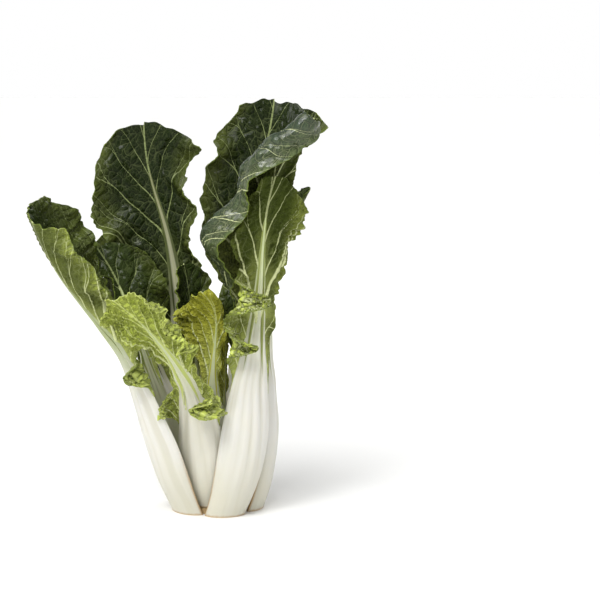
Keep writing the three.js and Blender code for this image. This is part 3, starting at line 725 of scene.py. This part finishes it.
def add_blade(leaf, settings, blisters, materials):
    """The blade: a grid laid along the leaf, with raised veins, blisters and frilled margins."""
    columns, rows = BLADE_GRIDS[leaf.ring_name]
    piece = new_piece(bpy.ops.mesh.primitive_grid_add, leaf.name + "_green_blade",
                      x_subdivisions=columns, y_subdivisions=rows, size=2)
    unit = mesh_points(piece)
    column, sign = np.abs(unit[:, 0]), np.where(unit[:, 0] < 0, -1, 1)
    first = leaf.start - BLADE_LEAD * (1 - leaf.start)
    share = first + (1 - first) * (unit[:, 1] + 1) / 2
    along = share * leaf.length

    half = leaf.stalk_half(share)
    torn = leaf.drift(along, sign * SIDES_APART, 9, 3)
    torn = torn + 1.6 * leaf.drift(along, sign * SIDES_APART, 26, 4)
    tearing = leaf.ragged * settings.ragged / MM
    reach = leaf.wing(share, sign)
    reach = reach + torn * tearing * fade(reach, 3, 16)
    hidden = half * HIDDEN_SHARE * np.minimum(column / HIDDEN_COLUMNS, 1)
    shown = np.clip((column - HIDDEN_COLUMNS) / (1 - HIDDEN_COLUMNS), 0, 1)
    distance = hidden + shown * (half * (1 - HIDDEN_SHARE) + reach)
    out_share = np.clip((distance - half) / np.maximum(reach, MM), 0, 1)
    on = leaf.on_blade(share)
    back = leaf.rounding * fade(on, ROUNDING_START, 1) * leaf.wing(share, sign) / leaf.length
    lobes = 1.4 * leaf.drift(distance, sign * SIDES_APART, 30, 12)
    lobes = lobes + leaf.drift(distance, sign * SIDES_APART, 11, 11)
    lobes = (1.4 - lobes) * tearing * fade(on, 0.8, 1) * (1 - out_share**4)
    back = back * out_share**2 + lobes / leaf.length
    share = share - back
    along = share * leaf.length

    slope = leaf.vein_slope + VEIN_CLIMB / VEIN_TURN * np.exp(-distance / VEIN_TURN)
    climb = leaf.vein_slope * distance + VEIN_CLIMB * (1 - np.exp(-distance / VEIN_TURN))
    size = (leaf.length / FULL_LENGTH) ** 0.5
    spacing = settings.vein_spacing / MM * size * leaf.vein_gap
    origin = along - climb + 2.4 * leaf.drift(along, distance * sign, 30, 5)
    lowest = leaf.vein_start * leaf.length
    order = (origin - lowest) / spacing + 0.16 * (1 + sign) * fade(origin, lowest, lowest + spacing)
    strong = np.clip(1 - 0.08 * order, 0.45, 1) * (1 - 0.5 * fade(-order, 0.3, 0.7))
    strong = strong * (0.85 + 0.2 * np.sin(2.2 * order + leaf.phase))
    strong = strong + leaf.stout * np.exp(-((order / 0.4) ** 2))
    thick = 0.75 + 1.9 * (1 - out_share) ** 1.5 * (1 - 0.5 * np.clip(on, 0, 1))
    thick = thick * (1 - 0.4 * fade(on, 0.6, 1)) * strong * leaf.length / FULL_LENGTH
    thick = thick * fade(reach, 0.5, 4)
    width = np.maximum(thick * np.sqrt(1 + slope**2) / spacing / 2, 0.001)
    fork = FORK_REACH * fade(out_share, FORK_START + 0.12 * np.sin(2.3 * order + leaf.phase), 1.15)
    apart = np.abs(np.abs(order - np.round(order)) - fork)
    near = apart / width
    broad = np.maximum(width, 0.75 * np.sqrt(1 + slope**2) / spacing)
    ridge = np.exp(-((apart / broad) ** 2) * 1.2) * thick * settings.rib_relief
    puff = fade(apart, 0, 0.3) * settings.puff_height / MM * fade(out_share, 0, 0.25)

    frill_turn = along / FRILL_TURN + 2.2 * leaf.drift(along, sign * FRILLS_APART, 40, 6)
    crimp = np.sin(CRIMP_RATE * frill_turn + leaf.drift(along, sign * FRILLS_APART, 25, 10))
    fine = np.sin(FINE_RATE * frill_turn + 3 * leaf.drift(along, distance * sign, 14, 13))
    flap = np.clip(leaf.ear(share, sign)[1] / FULL_CURL, 0, 1) * fade(out_share, 0, 0.3)
    frill = (np.sin(frill_turn) + 0.6 * crimp + 0.35 * fine) * out_share ** (3 / leaf.frill**0.5)
    frill = frill + flap * (0.4 * crimp + 0.25 * fine) * fade(out_share, 0.1, 0.5)
    frill = frill * leaf.frill * settings.frill_height / MM
    cockle = leaf.drift(along, distance * sign, COCKLE_SIZE, 7) * COCKLE_HEIGHT
    crinkle = leaf.drift(along, distance * sign, CRINKLE_SIZE, 14) * CRINKLE_HEIGHT
    cockle = (cockle + crinkle * (leaf.frill - 1)) * fade(out_share, 0, 0.4)
    out = (ridge - puff + frill + cockle) * np.minimum(1, reach / 14)
    points = leaf.point(share, sign * distance, out)
    set_points(piece, points)

    fuller = fade(out_share, 0.02, 0.2) * (1 - 0.6 * fade(out_share, 0.85, 1)) * fade(reach, 2, 14)
    set_attribute(piece, "vein", order, width, fork)
    fuller = fuller * (1 - np.exp(-(near**2))) * leaf.frill**0.5 * (1 + flap)
    rim_light = np.where(sign > 0, leaf.rim_light, RIM_LIGHT) * fade(out_share, 0.5, 1)
    light = np.maximum(flap * leaf.flap_light, rim_light * fade(reach, 4, 12))
    set_attribute(piece, "calm", fuller, light, 0)
    cells = points * MM / (settings.cell_size * size)
    warp = 0.3 * leaf.drift(along, distance * sign, 12, 8)
    set_attribute(piece, "net", *(cells.T + warp))
    rib = np.maximum(half * 0.5 + 0.9 * (1 - on), 0.5)
    set_attribute(piece, "leaf", on, out_share, distance / rib)

    apply_modifier(piece, "Blisters", "NODES", node_group=blisters)
    for material in materials:
        piece.data.materials.append(material)
    apply_modifier(piece, "Thickness", "SOLIDIFY", thickness=settings.blade_thickness, offset=0,
                   material_offset=1, material_offset_rim=2)
    smooth(piece, 60)
    return piece


def length_setting(name, description, default, low, high):
    return bpy.props.FloatProperty(
        name=name, description=description, default=default, min=low, max=high, unit="LENGTH")


def colour_setting(name, part, colour):
    return bpy.props.FloatVectorProperty(
        name=name, description="Colour of " + part, default=(*colour, 1), min=0, max=1, size=4,
        subtype="COLOR")


class BokChoySettings(bpy.types.PropertyGroup):
    """Sizes and colours of the bunch."""

    blade_thickness: length_setting(
        "Blade thickness", "Thickness of a leaf's green blade", 0.0008, 0.0003, 0.002)
    blister_height: length_setting(
        "Blister height", "How far the blade puffs up between its small veins", 0.0008, 0, 0.003)
    puff_height: length_setting(
        "Puff height", "How far the blade puffs up between its side veins", 0.0012, 0, 0.004)
    frill_height: length_setting(
        "Frill height", "Height of the small frills at a blade's margins", 0.001, 0, 0.004)
    ragged: length_setting(
        "Ragged margin", "How far a blade's outline runs in and out", 0.0007, 0, 0.003)
    strand_height: length_setting(
        "Strand height", "Height of the soft lengthwise ribs of a stalk", 0.0007, 0, 0.001)
    rib_relief: bpy.props.FloatProperty(
        name="Vein relief", description="Height of a side vein as a share of its width",
        default=0.45, min=0, max=1, subtype="FACTOR")
    vein_spacing: length_setting(
        "Vein spacing", "Distance between a leaf's side veins along its rib", 0.027, 0.008, 0.05)
    cell_size: length_setting(
        "Blister size", "Width of the blisters between the small veins", 0.0062, 0.003, 0.02)
    stalk_white: colour_setting("Stalk white", "the stalks", (0.715, 0.705, 0.665))
    stalk_cream: colour_setting("Stalk cream", "the stalks' warmer patches", (0.68, 0.66, 0.56))
    # The stalk shade is painted shade: in the grooves between the stalks' soft ribs, towards their
    # feet and on the inner stalks that stand recessed among the outer ones.
    painted_stalk_shade: colour_setting(
        "Stalk strand", "the stalks between their strands", (0.54, 0.52, 0.41))
    stalk_green: colour_setting("Stalk green", "the ribs towards the leaf's tip", (0.5, 0.58, 0.25))
    # Painted shade on the dark inner leaves' stalks.
    inner_stalk_shade: colour_setting(
        "Dull stalk", "the shade on the dark inner leaves' stalks", (0.42, 0.41, 0.2))
    dark_rib: colour_setting(
        "Rib on dark", "the dark leaves' ribs towards the tip", (0.2, 0.21, 0.08))
    stalk_tan: colour_setting("Stalk tan", "dried edges and of the cut's rim", (0.42, 0.26, 0.1))
    cut_stem: colour_setting("Cut stem", "the cut face", (0.72, 0.68, 0.46))
    cut_ring: colour_setting("Cut rings", "the cut face's rings and dots", (0.5, 0.47, 0.26))
    dark_upper: colour_setting(
        "Dark leaf", "the darkest blades' upper face", (0.0085, 0.016, 0.002))
    mid_upper: colour_setting("Leaf", "most blades' upper face", (0.022, 0.036, 0.005))
    # The rolled blade's upper face is lightened and blued as a painted sheen, on top of its real
    # gloss.
    painted_sheen_upper: colour_setting(
        "Leaf with a sheen", "the rolled blade's upper face", (0.034, 0.056, 0.032))
    leaf_back: colour_setting("Leaf back", "most blades' back", (0.045, 0.062, 0.008))
    bright_leaf: colour_setting(
        "Bright leaf", "the lightest blade and of the flaps", (0.62, 0.72, 0.13))
    light_leaf: colour_setting(
        "Light leaf", "a blade near its rib and its foot", (0.48, 0.54, 0.15))
    heart_leaf: colour_setting("Heart leaf", "the young blades in the heart", (0.46, 0.46, 0.05))
    # Leaf shade darkens the blades' random clouds, and is also the colour of the painted shade in the
    # valleys beside their small veins.
    leaf_shade: colour_setting("Leaf shade", "the blades' darker clouds", (0.006, 0.011, 0.001))
    vein_pale: colour_setting("Pale vein", "the side veins on a light face", (0.66, 0.7, 0.36))
    vein_dark: colour_setting("Vein on dark", "the side veins on a dark face", (0.3, 0.35, 0.14))
    margin_green: colour_setting("Margin", "the blades' thin margins", (0.3, 0.4, 0.08))
    floor_colour: colour_setting("Floor", "the floor", (0.94, 0.94, 0.93))
    floor_shade: colour_setting("Floor shade", "the floor's fainter clouds", (0.91, 0.91, 0.9))
    floor_size: bpy.props.FloatProperty(
        name="Floor size", description="Width of the floor", default=30, min=2, unit="LENGTH")
    sun_strength: bpy.props.FloatProperty(
        name="Broad light", description="Strength of the light that falls on the whole floor",
        default=2.5, min=0)
    camera_distance: bpy.props.FloatProperty(
        name="Camera distance", description="From the camera to the middle of the picture",
        default=1.3, min=0.3, unit="LENGTH")
    camera_elevation: bpy.props.FloatProperty(
        name="Camera elevation", description="How far the camera looks down",
        default=math.radians(8), unit="ROTATION")
    camera_aim: bpy.props.FloatVectorProperty(
        name="Camera aim", description="The middle of the picture",
        default=(0.0642, 0, 0.1618), size=3, unit="LENGTH")
    camera_lens: bpy.props.FloatProperty(
        name="Lens", description="The camera's focal length in millimetres", default=102, min=20)


def mixed(first, second, share):
    """A colour worked out in Python, part of the way from one to the other."""
    return tuple(a + (b - a) * share for a, b in zip(first, second))


def lit_back(settings, share):
    """The green of most blades' backs, lightened by a share."""
    return mixed(settings.leaf_back, settings.light_leaf, share)


def blade_materials(kind, settings):
    """The finishes of a kind of blade: its back, its upper face and its thin margin."""
    upper, back, light, gloss, net = {
        "dark": (settings.dark_upper, settings.leaf_back, lit_back(settings, 0.06), 0.18, 0.2),
        # The deep kind's upper face is painted much lighter than a dark leaf's, as painted light in
        # the shaded pocket where it shows.
        "deep": (lit_back(settings, 0.1), settings.leaf_back, settings.light_leaf, 0.1, 0.2),
        # The glossy kind's upper face carries a painted sheen in its colour.
        "glossy": (settings.painted_sheen_upper, settings.leaf_back, settings.mid_upper, 0.7, 0.16),
        "mid": (settings.mid_upper, settings.leaf_back, settings.light_leaf, 0.22, 0.2),
        "green": (settings.mid_upper, lit_back(settings, 0.15), settings.light_leaf, 0.22, 0.2),
        "light": (settings.bright_leaf, settings.bright_leaf, settings.light_leaf, 0.3, 0.35),
        "heart": (settings.heart_leaf, settings.heart_leaf, settings.light_leaf, 0.15, 0.4),
    }[kind]
    vein = settings.vein_pale if kind in ("light", "glossy", "heart") else settings.vein_dark
    edge = settings.light_leaf if kind == "light" else mixed(back, settings.margin_green, 0.35)
    reach = 0.3 if kind == "light" else 0.1
    relief = {"light": 0.0018, "glossy": 0.0013, "heart": 0.0013}.get(kind, 0.0008)
    # How much painted shade each kind gets in the valleys beside its small veins.
    valley_shade_share = {"light": 0.9, "glossy": 0.5, "heart": 0.25}.get(kind, 0.15)
    under = blade_material(kind + "_leaf_back", settings, back, settings.light_leaf,
                           settings.vein_pale, edge, net=0.1, gloss=0.03, reach=reach + 0.3,
                           fading=0.6, relief=relief, valley_shade_share=valley_shade_share)
    over = blade_material(kind + "_leaf_upper", settings, upper, light, vein,
                          mixed(upper, settings.margin_green, 0.3), net=net, roughness=0.3,
                          gloss=gloss, reach=reach, relief=relief, valley_shade_share=valley_shade_share)
    rim = blade_material(kind + "_leaf_margin", settings, edge, settings.light_leaf,
                         settings.vein_pale, edge)
    return under, over, rim


def stalk_finish(kind, ring, settings):
    """The finish of a ring's stalks that carry a kind of blade, with painted shade on the inner
    rings.
    """
    is_inner = ring != "outer"
    # Stalks go part of the way to the stalk shade colour: the inner ones much of it, as painted shade
    # where they stand recessed among the outer leaves, the outer ones a little.
    white = mixed(settings.stalk_white, settings.painted_stalk_shade, 0.6 if is_inner else 0.12)
    if is_inner and kind != "light":
        white = mixed(white, settings.stalk_green, 0.4)
    # Painted shade on the dark inner leaves' stalks.
    if is_inner and kind == "dark":
        white = mixed(white, settings.inner_stalk_shade, 0.4)
    rib, green = {
        "dark": (settings.dark_rib, lit_back(settings, 0.06)),
        "deep": (settings.stalk_green, settings.leaf_back),
        "green": (mixed(settings.stalk_green, settings.leaf_back, 0.35), lit_back(settings, 0.3)),
        "glossy": (settings.stalk_green, settings.leaf_back),
        "mid": (settings.stalk_green, lit_back(settings, 0.5)),
        "light": (settings.stalk_green, settings.light_leaf),
        "heart": (settings.stalk_green, settings.heart_leaf),
    }[kind]
    turned = 0.8 if kind == "green" else 1.1
    bare = 0.3 if kind == "dark" else 0.5
    return stalk_material(f"{kind}_{ring}_stalk", settings, white, rib, green, turned, bare)


def add_leaves(ring, settings):
    """Adds every leaf of a ring, each as its stalk and its blade."""
    blisters = blister_group(settings)
    leaves = [leaf for leaf in LEAVES if leaf.ring_name == ring]
    kinds = sorted({leaf.kind for leaf in leaves})
    stalks = {kind: stalk_finish(kind, ring, settings) for kind in kinds}
    finishes = {kind: blade_materials(kind, settings) for kind in kinds}
    for leaf in leaves:
        stalk = add_stalk(leaf, settings, stalks[leaf.kind])
        hand_over(stalk, "pale_stalk" if ring == "heart" else "stalk", leaf.name + "_stalk")
        blade = add_blade(leaf, settings, blisters, finishes[leaf.kind])
        hand_over(blade, BLADE_SLOTS.get(leaf.kind, "leaf"), leaf.name + "_blade")


class MESH_OT_bok_choy_core(bpy.types.Operator):
    """Adds the short core of stem with its cut face"""

    bl_idname = "mesh.bok_choy_core"
    bl_label = "Add Core"

    def execute(self, context):
        settings = context.scene.bok_choy
        low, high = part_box("core")
        piece = new_piece(bpy.ops.mesh.primitive_circle_add, "cut_stem_core",
                          vertices=96, radius=high.x, fill_type="NGON")
        bpy.ops.object.mode_set(mode="EDIT")
        bpy.ops.mesh.select_all(action="SELECT")
        for width, height in CORE_RINGS:
            bpy.ops.mesh.extrude_region_move()
            self.shape_ring(piece, width * high.x, height * MM)
        bpy.ops.object.mode_set(mode="OBJECT")
        self.cut_face(piece)
        piece.data.materials.append(core_material("cut_stem_finish", settings))
        smooth(piece, 40)
        hand_over(piece, "cut_stem", "core")
        return {"FINISHED"}

    def shape_ring(self, piece, radius, height):
        """Brings the ring of points that was just extruded to its radius and height."""
        bpy.ops.object.mode_set(mode="OBJECT")
        for vertex in piece.data.vertices:
            if vertex.select:
                flat = Vector((vertex.co.x, vertex.co.y, 0)).normalized() * radius
                vertex.co = (flat.x, flat.y, height)
        bpy.ops.object.mode_set(mode="EDIT")

    def cut_face(self, piece):
        """Insets the face that was cut, to give it rings."""
        for polygon in piece.data.polygons:
            polygon.select = polygon.center.z < MM and abs(polygon.normal.z) > 0.9
        bpy.ops.object.mode_set(mode="EDIT")
        bpy.ops.mesh.select_mode(type="FACE")
        for _ in range(CUT_INSETS):
            bpy.ops.mesh.inset(thickness=CUT_INSET)
        bpy.ops.mesh.select_all(action="SELECT")
        bpy.ops.mesh.normals_make_consistent(inside=False)
        bpy.ops.object.mode_set(mode="OBJECT")


class MESH_OT_bok_choy_outer_leaves(bpy.types.Operator):
    """Adds the outer leaves, which carry the bunch on their cut feet"""

    bl_idname = "mesh.bok_choy_outer_leaves"
    bl_label = "Add Outer Leaves"

    def execute(self, context):
        add_leaves("outer", context.scene.bok_choy)
        return {"FINISHED"}


class MESH_OT_bok_choy_second_leaves(bpy.types.Operator):
    """Adds the leaves of the second ring"""

    bl_idname = "mesh.bok_choy_second_leaves"
    bl_label = "Add Second Leaves"

    def execute(self, context):
        add_leaves("second", context.scene.bok_choy)
        return {"FINISHED"}


class MESH_OT_bok_choy_young_leaves(bpy.types.Operator):
    """Adds the young leaves inside the second ring"""

    bl_idname = "mesh.bok_choy_young_leaves"
    bl_label = "Add Young Leaves"

    def execute(self, context):
        add_leaves("third", context.scene.bok_choy)
        return {"FINISHED"}


class MESH_OT_bok_choy_heart(bpy.types.Operator):
    """Adds the two smallest leaves in the heart"""

    bl_idname = "mesh.bok_choy_heart"
    bl_label = "Add Heart"

    def execute(self, context):
        add_leaves("heart", context.scene.bok_choy)
        return {"FINISHED"}


class SCENE_OT_bok_choy_stage(bpy.types.Operator):
    """Adds the pale floor, the soft lights and the camera"""

    bl_idname = "scene.bok_choy_stage"
    bl_label = "Add Stage"

    def execute(self, context):
        settings = context.scene.bok_choy
        floor = new_piece(bpy.ops.mesh.primitive_plane_add, "floor", size=settings.floor_size)
        floor.data.materials.append(floor_material(settings))
        sun = self.add_light("SUN", "broad_light", (-1, -1.4, 2), Vector((0.5, 0.75, -1.35)))
        sun.energy, sun.angle = settings.sun_strength, math.radians(50)
        for name, place, size, power in STUDIO_LIGHTS:
            light = self.add_light("AREA", name, place, LIGHT_AIM - Vector(place))
            light.size, light.energy = size, power
        self.add_world(context.scene)
        self.add_camera(context.scene, settings)
        context.scene.view_settings.view_transform = "Standard"
        return {"FINISHED"}

    def add_light(self, kind, name, place, aim):
        """Adds a light that shines along its aim."""
        bpy.ops.object.light_add(type=kind, location=place)
        light = bpy.context.active_object
        light.name = name
        light.rotation_euler = aim.to_track_quat("-Z", "Y").to_euler()
        return light.data

    def add_world(self, scene):
        """White round the horizon, as a studio's walls are, and dimmer overhead."""
        scene.world = bpy.data.worlds.new("studio")
        scene.world.use_nodes = True
        tree = scene.world.node_tree
        tree.nodes.clear()
        nodes = Nodes(tree)
        _, _, height = nodes.split(nodes.add("ShaderNodeTexCoord", {}, output="Generated"))
        walls = 1 - nodes.fade(height, 0.16, 0.4)
        colour = nodes.mix(walls, (0.42, 0.42, 0.42, 1), (1, 1, 1, 1))
        background = nodes.add("ShaderNodeBackground", {}, {"Color": colour, "Strength": 1.0})
        nodes.add("ShaderNodeOutputWorld", {}, {"Surface": background})

    def add_camera(self, scene, settings):
        lift = settings.camera_elevation
        back = Vector((0, -math.cos(lift), math.sin(lift)))
        place = Vector(settings.camera_aim) + back * settings.camera_distance
        bpy.ops.object.camera_add(location=place)
        camera = bpy.context.active_object
        camera.name = "camera"
        camera.rotation_euler = (-back).to_track_quat("-Z", "Y").to_euler()
        camera.data.lens = settings.camera_lens
        camera.data.sensor_width = SENSOR_WIDTH
        scene.camera = camera


class VIEW3D_PT_bok_choy(bpy.types.Panel):
    """The bunch's pieces and settings"""

    bl_label = "Bok Choy Bunch"
    bl_space_type = "VIEW_3D"
    bl_region_type = "UI"
    bl_category = "Bok Choy"

    def draw(self, context):
        for operator in OPERATORS:
            self.layout.operator(operator.bl_idname)
        for name in BokChoySettings.__annotations__:
            self.layout.prop(context.scene.bok_choy, name)


OPERATORS = (
    MESH_OT_bok_choy_core,
    MESH_OT_bok_choy_outer_leaves,
    MESH_OT_bok_choy_second_leaves,
    MESH_OT_bok_choy_young_leaves,
    MESH_OT_bok_choy_heart,
    SCENE_OT_bok_choy_stage,
)


def register():
    for made in (BokChoySettings, *OPERATORS, VIEW3D_PT_bok_choy):
        bpy.utils.register_class(made)
    bpy.types.Scene.bok_choy = bpy.props.PointerProperty(type=BokChoySettings)


def unregister():
    del bpy.types.Scene.bok_choy
    for made in (VIEW3D_PT_bok_choy, *reversed(OPERATORS), BokChoySettings):
        bpy.utils.unregister_class(made)


def main():
    register()
    bpy.ops.mesh.bok_choy_core()
    bpy.ops.mesh.bok_choy_outer_leaves()
    bpy.ops.mesh.bok_choy_second_leaves()
    bpy.ops.mesh.bok_choy_young_leaves()
    bpy.ops.mesh.bok_choy_heart()
    bpy.ops.scene.bok_choy_stage()


if __name__ == "__main__":
    main()
